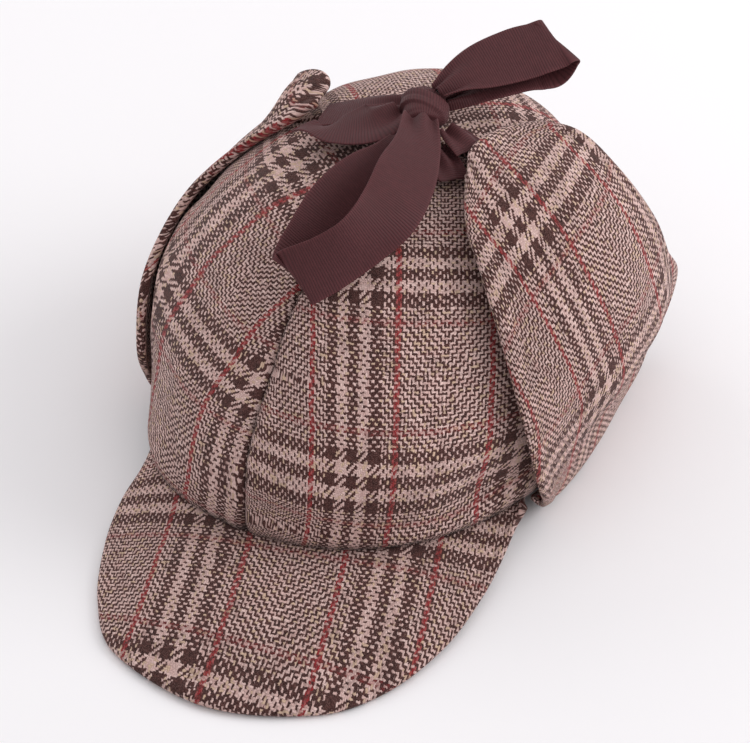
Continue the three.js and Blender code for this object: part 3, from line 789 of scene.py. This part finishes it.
def flap(name, nu=130, nv=170):
    rows = FLAPS[name]
    f = flap_surface(rows)
    U, V = np.meshgrid(np.linspace(0, 1, nu + 1), np.linspace(0, 1, nv + 1))
    # the corners of the tip are rounded
    V = V * (1 - (0.045 if name.endswith("left") else 0.03) * np.abs(2 * U - 1) ** 5 * smooth(V, 0.6, 1.0))
    p = f(U, V)
    n = normals(p, 1)
    sign = 1 if name.endswith("right") else -1
    if n[nv // 2, nu // 2, 0] * sign < 0:
        n = -n
    s = arc(p, 1)
    t = arc(p, 0)
    c = nu // 2
    if sign < 0:
        # the lines run level and upright up the flap's side
        mid = p[:, c][np.argmin(p[:, c, 2]):]
        climb = np.concatenate([[0], np.cumsum(np.hypot(np.diff(mid[:, 0]), np.diff(mid[:, 2])))])
        a_, b_ = lay(name, p[..., 1] - 12, 10 + np.interp(p[..., 2], np.maximum.accumulate(mid[:, 2]), climb))
    else:
        a_, b_ = lay(name, s - s[:, [c]], t[:, [c]] * np.ones_like(s))
    edge = np.minimum(np.minimum(s, s[:, [-1]] - s), t[[-1]] - t)
    depth = 0.35 * np.exp(-(((edge - 3.0) / 2.2) ** 2)) - 0.3 * np.exp(-(((edge - 6.8) / 1.3) ** 2))
    depth += 0.30 * waves(p[..., 1], p[..., 2], 21, 40) * smooth(edge, 0, 14) * smooth(t, 8, 25)
    # the left flap's front edge is rolled over thicker than the rest
    roll = (1.3 if sign < 0 else 0.4) * np.exp(-((s / 4.5) ** 2)) * smooth(t, 20, 45)
    depth += roll
    outer = p + n * depth[..., None]
    # painted shade: darker in the groove about 6.8 mm in from the edge
    painted_shade = 0.25 * np.exp(-(((edge - 6.8) / 0.8) ** 2)) * smooth(t, 10, 20)
    cloth = np.stack([a_, b_, painted_shade], -1)
    under = np.stack([a_ + 44, b_ + 23, painted_shade * 0], -1)
    obj = cloth_wall("tweed_" + name, outer, n, cloth, under, FLAP_CLOTH + roll, TWEED, floor=0.3, rows=5, bulge=1.0)
    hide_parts(name)
    return obj


# ---- bow ---------------------------------------------------------------------
def band(name, rows, pinch_ends=(1, 1), nu=24, nv=None, cup=0.3, salt=0.0):
    table = [dict(zip(RIBBON_KEYS, r)) for r in rows]
    station = spline(table, RIBBON_KEYS)
    nv = nv or 16 * len(rows)
    v = np.linspace(0, 1, nv + 1)
    r = station(v)
    centre, w = r[:, :3], np.minimum(r[:, 6], 25.0)
    across = unit(r[:, 3:6])
    along = unit(np.gradient(centre, axis=0))
    across = unit(across - along * (across * along).sum(-1, keepdims=True))
    up = unit(np.cross(along, across))
    if up[0, 2] < 0:
        up = -up
    u = np.linspace(-0.5, 0.5, nu + 1)
    length = arc(centre[:, None, :], 0)[:, 0]
    p = centre[:, None, :] + across[:, None, :] * (u[None, :, None] * w[:, None, None])
    # gathered folds where the band runs into the knot
    near = np.zeros(nv + 1)
    if pinch_ends[0]:
        near = np.maximum(near, np.exp(-((length / 11.0) ** 2)))
    if pinch_ends[1]:
        near = np.maximum(near, np.exp(-(((length[-1] - length) / 11.0) ** 2)))
    fold = np.sin(u * 2 * math.pi * 1.7 + 0.8 + salt)[None, :] * near[:, None] * 1.5
    fold += -cup * (4 * u**2)[None, :] * (1 - near)[:, None]
    p = p + up[:, None, :] * fold[..., None]
    n = normals(p, 1)
    if (n[nv // 2, nu // 2] @ up[nv // 2]) < 0:
        n = -n
    a_ = length[:, None] + 0 * u[None, :] + salt * 7
    b_ = u[None, :] * 25.0 + 0 * length[:, None]
    edge = smooth(np.abs(b_), 11.2, 12.2)
    cloth = np.stack([a_, b_, edge], -1)
    obj = cloth_wall(name.replace("bow_", "ribbon_"), p + n * (RIBBON_CLOTH / 2), n, cloth, cloth, np.full(p.shape[:2], RIBBON_CLOTH), RIBBON, rows=3, bulge=1.0)
    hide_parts(name)
    return obj, float(length[-1])


def knot(name):
    """The ribbon's middle, wrapped once round the gathered loops."""
    k = KNOT
    nu, nv = 40, 96
    v = np.linspace(0, 2 * math.pi, nv, endpoint=False)
    u = np.linspace(-1, 1, nu + 1)
    U, V = np.meshgrid(u, v)
    # barrel round the axis that runs along the loops, its ends turned in
    prof = (1 - np.abs(U) ** 4.5) ** (1 / 4.5)
    # one turn of the ribbon laps over the rest, running slantwise across the top
    lap = smooth(0.50 - np.abs(U + 0.42 * np.cos(V)), 0.0, 0.09)
    crease = 0.87 + 0.16 * lap - 0.05 * np.exp(-(((U + 0.42 * np.cos(V)) / 0.10) ** 2))
    crease -= 0.05 * np.exp(-(((np.abs(U) - 0.76) / 0.07) ** 2))
    r = np.maximum(prof, 0.05) * crease
    x = k["half_width"] * r * np.cos(V)
    y = k["half_length"] * U * 0.98
    z = k["half_height"] * r * np.sin(V) * (1 + 0.06 * np.cos(3 * V))
    c, s = math.cos(k["tilt"]), math.sin(k["tilt"])
    p = np.stack([c * x - s * y + k["x"], s * x + c * y + k["y"], z + k["z"]], -1)
    verts = p.reshape(-1, 3)
    faces = []
    row = nu + 1
    for j in range(nv):
        for i in range(nu):
            a, b = j * row + i, ((j + 1) % nv) * row + i
            faces.append((a, a + 1, b + 1, b))
    ends = [verts[np.arange(nv) * row].mean(0), verts[np.arange(nv) * row + nu].mean(0)]
    first = len(verts)
    verts = np.vstack([verts, ends])
    for j in range(nv):
        a, b = j * row, ((j + 1) % nv) * row
        faces.append((a, b, first))
        faces.append((b + nu, a + nu, first + 1))
    girth = 2 * math.pi * 6.8
    cloth = np.stack([V / (2 * math.pi) * girth, U * 10.0, smooth(np.abs(U), 0.86, 0.93)], -1).reshape(-1, 3)
    cloth = np.vstack([cloth, [[0, -12, 0], [0, 12, 0]]])
    vol = sum(np.dot(verts[f[0]] - verts[first], np.cross(verts[f[1]] - verts[first], verts[f[2]] - verts[first])) for f in faces[:400])
    centre = verts.mean(0)
    f = faces[len(faces) // 3]
    out = np.dot(np.cross(verts[f[1]] - verts[f[0]], verts[f[2]] - verts[f[0]]), verts[f[0]] - centre)
    if out < 0:
        faces = [tuple(reversed(q)) for q in faces]
    obj = make_mesh(name.replace("bow_", "ribbon_"), verts, faces, cloth, RIBBON)
    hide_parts(name)
    return obj


GORES = {
    "crown_gore_front_left": (-95, -8),
    "crown_gore_front_right": (-8, 85),
    "crown_gore_back_right": (85, 175),
    "crown_gore_back_left": (175, 265),
}
made = {}
for name, (a, b) in GORES.items():
    made[name] = gore(name, a, b)
for name in BRIMS:
    made[name] = brim(name)
for name in FLAPS:
    made[name] = flap(name)
PINCH = {
    "bow_loop_front": (1, 1),
    "bow_loop_right": (1, 1),
    "bow_tie_left": (1, 0),
    "bow_tail_left": (1, 0),
    "bow_tie_right": (1, 0),
    "bow_tail_right": (1, 0),
}
for i, (name, rows) in enumerate(RIBBONS.items()):
    made[name], long = band(name, rows, PINCH[name], salt=1.3 * i)
made["bow_knot"] = knot("bow_knot")

# ---- floor, light and camera ---------------------------------------------------
floor_look = Look("pale_floor")
_, _, _, own = floor_look.numbers()
shade = floor_look.math("MULTIPLY_ADD", floor_look.noise(own, 3.0, 2.0), 0.02, 0.91)
floor_look.put(floor_look.bsdf.inputs["Base Color"], floor_look.vector(shade, floor_look.mul(shade, 0.985), shade))
floor_look.bsdf.inputs["Roughness"].default_value = 0.9
floor_look.bsdf.inputs["Specular IOR Level"].default_value = 0.1
floor_mesh = bpy.data.meshes.new("floor")
F = 6.0
floor_mesh.from_pydata([(-F, -F, 0), (F, -F, 0), (F, F, 0), (-F, F, 0)], [], [(0, 1, 2, 3)])
floor_mesh.materials.append(floor_look.mat)
floor = bpy.data.objects.new("floor", floor_mesh)
bpy.context.scene.collection.objects.link(floor)

world = bpy.data.worlds.new("studio")
bpy.context.scene.world = world
world.use_nodes = True
world.node_tree.nodes["Background"].inputs["Color"].default_value = (1.0, 0.985, 1.0, 1)
world.node_tree.nodes["Background"].inputs["Strength"].default_value = 0.68


def soft_light(name, where, aim, size, watts, colour=(1, 1, 1)):
    light = bpy.data.lights.new(name, "AREA")
    light.shape = "DISK"
    light.size = size
    light.energy = watts
    light.color = colour
    obj = bpy.data.objects.new(name, light)
    bpy.context.scene.collection.objects.link(obj)
    from mathutils import Vector

    obj.location = where
    obj.rotation_euler = (Vector(aim) - Vector(where)).to_track_quat("-Z", "Y").to_euler()
    return obj


soft_light("window", (1.5, 0.7, 1.0), (0, 0, 0.05), 1.4, 18)
soft_light("left", (-1.5, 0.6, 1.1), (0, 0, 0.05), 1.4, 6)
soft_light("over", (0.3, 0.7, 1.7), (0, 0, 0.05), 1.6, 4)

camera = bpy.data.cameras.new("camera")
camera.sensor_width = 36.0
camera.lens = 2627.7 / 750 * 36
camera.clip_start, camera.clip_end = 0.05, 30
eye = bpy.data.objects.new("camera", camera)
bpy.context.scene.collection.objects.link(eye)
AZIMUTH, ELEVATION, AWAY = 22.65 * RAD, 39.43 * RAD, 942.0
toward = np.array([math.sin(AZIMUTH) * math.cos(ELEVATION), -math.cos(AZIMUTH) * math.cos(ELEVATION), math.sin(ELEVATION)])
eye.location = place(np.array([16.9, -50.6, 58.2]) + toward * AWAY)
eye.rotation_euler = (math.pi / 2 - ELEVATION, 0, AZIMUTH)
bpy.context.scene.camera = eye
bpy.context.scene.view_settings.view_transform = "Standard"
